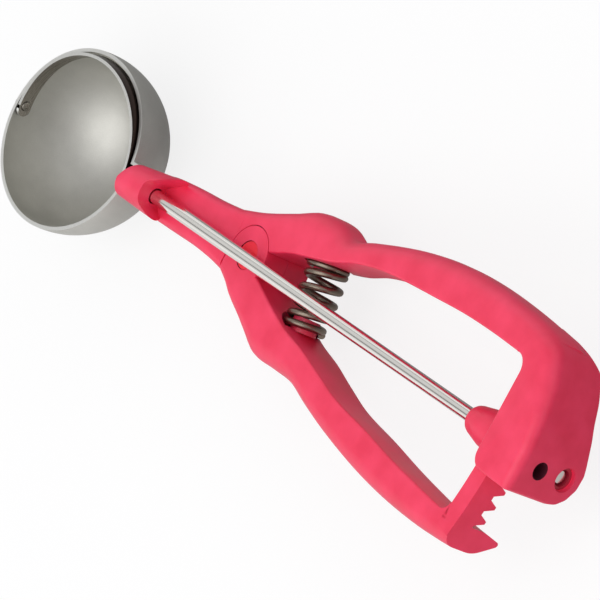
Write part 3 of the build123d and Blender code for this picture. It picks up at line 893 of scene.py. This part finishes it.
def makeRack(look):
    # one bar with its teeth, lofted along its arc
    half = look["toothPitch"] / 4 - look["backlash"]
    slope = math.tan(math.radians(look["flankAngle"]))
    foot, top = half + slope * look["toothRoot"], half - slope * look["toothRise"]
    tip, base = look["pitchHeight"] - look["toothRise"], look["pitchHeight"] + look["toothRoot"]
    rows = [(look["rackRun"][0], base)]
    for k in look["teeth"]:
        middle = look["middleTooth"] + k * look["toothPitch"]
        rows += [(middle - foot, base), (middle - top, tip), (middle + top, tip), (middle + foot, base)]
    rows.append((look["rackRun"][1], base))
    dense = []
    for (a, heightA), (b, heightB) in zip(rows, rows[1:]):
        steps = max(1, round((b - a) / look["rackStep"]))
        dense += [(a + (b - a) * k / steps, heightA + (heightB - heightA) * k / steps) for k in range(steps)]
    dense.append(rows[-1])
    tilt = math.radians(handles["tilt"])
    loops = []
    for s, height in dense:
        angle = s / look["rackMean"]
        loop = []
        for radius in (look["rackInner"], look["rackOuter"]):
            u = radius * math.cos(angle)
            v = handles["hubShift"] + radius * math.sin(angle)
            low = (height - handles["pivot"][2] - u * math.sin(tilt)) / math.cos(tilt)
            loop += [(u, v, low), (u, v, look["rackTop"])]
        loops.append([loop[0], loop[1], loop[3], loop[2]])
    return skin("rack", loops)


def makeElbow(look):
    u, v, radius = look["elbow"]
    first, last = look["elbowAngles"]
    long, across = look["elbowLegs"]
    steps = 12
    corner = []
    for k in range(steps + 1):
        angle = math.radians(first + (last - first) * k / steps)
        corner.append((u + radius * math.cos(angle), v + radius * math.sin(angle)))
    corner += [(u + long, v - across), (u, v - across)]
    return skin("elbow", [[(a, b, w) for a, b in corner] for w in look["elbowRun"]])


def makeLever(look):
    hub, under, shift = handles["hubRadius"], look["hubUnder"], handles["hubShift"]
    piece = skin("lever_moulding", gripLoops(look))
    combine(piece, discShape(hub + handles["hubGap"], -40, under))
    combine(piece, discShape(look["rackOuter"], -60, 20, 720), "INTERSECT")
    combine(piece, discShape(hub, under, 0), "UNION")
    combine(piece, makeRack(look), "UNION")
    combine(piece, makeElbow(look), "UNION")
    combine(piece, discShape(look["pinHole"], -20, 5, 48))
    recess, floor = look["headRecess"]
    combine(piece, discShape(recess, floor, 5, 96))
    combine(piece, springDisc(handles["seatRadius"], *look["springSeat"]))
    combine(piece, springDisc(handles["studRadius"], *look["springStud"]), "UNION")
    for k in range(look["grooves"]):
        rod = rodShape(*look["rodGroove"])
        turn = Matrix.Rotation(math.radians(look["grooveStep"] * k), 4, "Z")
        rod.data.transform(Matrix.Translation((0, shift, 0)) @ turn @ Matrix.Translation((0, -shift, 0)))
        combine(piece, rod)
    settle(piece, "lever_moulding", gripPlastic, "lever", "lever_handle")


makeSpring(springLook)
print("spring done")
makeRing(ringLook)
makeRivetAndSleeve(ringLook)
print("sweep ring, rivet and sleeve done")
turnedCopy("pinion", "gear", bushPlastic)
turnedCopy("pinion_pin", "gear_pin", rodSteel)
print("gear done")
makeFixedHandle(fixedLook)
print("fixed handle done")
makeLever(leverLook)
print("lever done")


stageLook = {
    "floorDrop": 0.3 * mm,         # under the lowest point of the object
    "floorSize": 8.0,
    "shadowShare": 0.22,           # how much of the floor's look is lit paint; the rest is plain white
    "paperWhite": "#FCFCFC",
    "floorGrey": "#7C7C7C",        # what the object itself sees of the floor
    "mirrorNear": (-0.045, 0.62),  # how much of the white floor shows in metal, at this Y
    "mirrorFar": (0.02, 0.10),     # and at this Y, darker: a painted reflection of a dark side of the studio, which the scene does not hold
    "skyColor": "#FDFDFF",
    "skyStrength": 1.15,
    # brightness of the tent round the object, by angle in degrees from +Y over the top to -Y
    "tent": [(0, 0.72), (8, 0.76), (22, 0.76), (36, 0.92), (44, 0.70), (50, 0.28), (56, 0.62), (70, 0.66),
             (84, 0.68), (96, 0.62), (104, 0.46), (111, 0.08), (118, 0.46), (130, 0.74), (144, 0.88),
             (164, 0.92), (180, 0.74)],
}


def makeFloor(look):
    lowest = cadBounds[0][2] - look["floorDrop"]
    bpy.ops.mesh.primitive_plane_add(size=look["floorSize"], location=(0.1, 0, lowest))
    floor = bpy.context.object
    floor.name = "studio_floor"
    bpy.ops.object.transform_apply(location=True, rotation=True, scale=True)
    material = bpy.data.materials.new("white_paper_floor")
    material.use_nodes = True
    material.node_tree.nodes.clear()
    path = addNode(material, "ShaderNodeLightPath")
    place = addNode(material, "ShaderNodeTexCoord")
    split = addNode(material, "ShaderNodeSeparateXYZ", links={0: place.outputs["Object"]})
    (nearY, nearShare), (farY, farShare) = look["mirrorNear"], look["mirrorFar"]
    # painted reflection: the floor seen in metal gets darker towards +Y, as a dark studio side would look
    paintedCardReflection = addNode(material, "ShaderNodeMapRange",
                   {"From Min": nearY, "From Max": farY, "To Min": nearShare, "To Max": farShare},
                   {"Value": split.outputs["Y"]})
    mirrored = addNode(material, "ShaderNodeMath", {"operation": "MULTIPLY"},
                       {0: path.outputs["Is Glossy Ray"], 1: paintedCardReflection.outputs["Result"]})
    through = addNode(material, "ShaderNodeMath", {"operation": "MAXIMUM"},
                      {0: path.outputs["Is Camera Ray"], 1: path.outputs["Is Transmission Ray"]})
    seen = addNode(material, "ShaderNodeMath", {"operation": "MAXIMUM"},
                   {0: through.outputs[0], 1: mirrored.outputs[0]})
    color = addNode(material, "ShaderNodeMixRGB",
                    {1: hexToLinear(look["floorGrey"]), 2: hexToLinear(look["paperWhite"])},
                    {0: seen.outputs[0]})
    paint = addNode(material, "ShaderNodeBsdfDiffuse", links={"Color": color.outputs[0]})
    white = addNode(material, "ShaderNodeEmission", {"Color": (1, 1, 1, 1), "Strength": 1.0})
    share = addNode(material, "ShaderNodeMath", {"operation": "MULTIPLY", 1: 1 - look["shadowShare"]},
                    {0: seen.outputs[0]})
    mix = addNode(material, "ShaderNodeMixShader",
                  links={0: share.outputs[0], 1: paint.outputs[0], 2: white.outputs[0]})
    addNode(material, "ShaderNodeOutputMaterial", links={"Surface": mix.outputs[0]})
    floor.data.materials.append(material)


def makeWorld(look):
    # a white tent of two cloth panels that leave a narrow dark gap along the object
    world = bpy.data.worlds.new("studio_tent")
    bpy.context.scene.world = world
    world.use_nodes = True
    world.node_tree.nodes.clear()
    place = addNode(world, "ShaderNodeTexCoord")
    split = addNode(world, "ShaderNodeSeparateXYZ", links={0: place.outputs["Generated"]})
    angle = addNode(world, "ShaderNodeMath", {"operation": "ARCTAN2"},
                    {0: split.outputs["Z"], 1: split.outputs["Y"]})
    along = addNode(world, "ShaderNodeMapRange", {"From Min": 0.0, "From Max": math.pi},
                    {"Value": angle.outputs[0]})
    ramp = addNode(world, "ShaderNodeValToRGB", links={"Fac": along.outputs["Result"]})
    setRamp(ramp, [(degree / 180, (level, level, level, 1)) for degree, level in look["tent"]])
    tint = addNode(world, "ShaderNodeMixRGB",
                   {"blend_type": "MULTIPLY", 0: 1.0, 2: hexToLinear(look["skyColor"])},
                   {1: ramp.outputs["Color"]})
    background = addNode(world, "ShaderNodeBackground", {"Strength": look["skyStrength"]},
                         {"Color": tint.outputs[0]})
    addNode(world, "ShaderNodeOutputWorld", links={"Surface": background.outputs[0]})


lampLook = {
    "name": "key_softbox",
    "place": (0.35, -0.45, 1.15),
    "aim": (0.1, 0, 0),
    "size": (1.3, 1.3),
    "watts": 6.8,
}


def makeLamp(look):
    bpy.ops.object.light_add(type="AREA", location=look["place"])
    light = bpy.context.object
    light.name = look["name"]
    light.data.shape = "RECTANGLE"
    light.data.size, light.data.size_y = look["size"]
    light.data.energy = look["watts"]
    toward = Vector(look["aim"]) - Vector(look["place"])
    light.rotation_euler = toward.to_track_quat("-Z", "Y").to_euler()


cameraLook = {
    "place": (1.7468820, 0.2972780, 1.7651368),
    "right": (0.6047804, 0.4700680, -0.6428661),   # which way the frame's right side points
    "up": (-0.4201334, 0.8740752, 0.2438864),
    "sensor": 36,
    "lens": 547.285,               # a long lens from far off
    "clip": (0.1, 30),
}


def makeCamera(look):
    camera = bpy.data.objects.new("camera", bpy.data.cameras.new("camera"))
    bpy.context.scene.collection.objects.link(camera)
    camera.data.sensor_width = look["sensor"]
    camera.data.lens = look["lens"]
    camera.data.clip_start, camera.data.clip_end = look["clip"]
    right, up = Vector(look["right"]), Vector(look["up"])
    back = right.cross(up)
    turn = [[right[i], up[i], back[i]] for i in range(3)]
    camera.matrix_world = Matrix(turn).to_4x4()
    camera.location = look["place"]
    bpy.context.scene.camera = camera


bpy.ops.object.select_all(action="DESELECT")
makeFloor(stageLook)
makeWorld(stageLook)
makeLamp(lampLook)
makeCamera(cameraLook)
bpy.context.scene.view_settings.view_transform = "Standard"
print("stage, light and camera done")
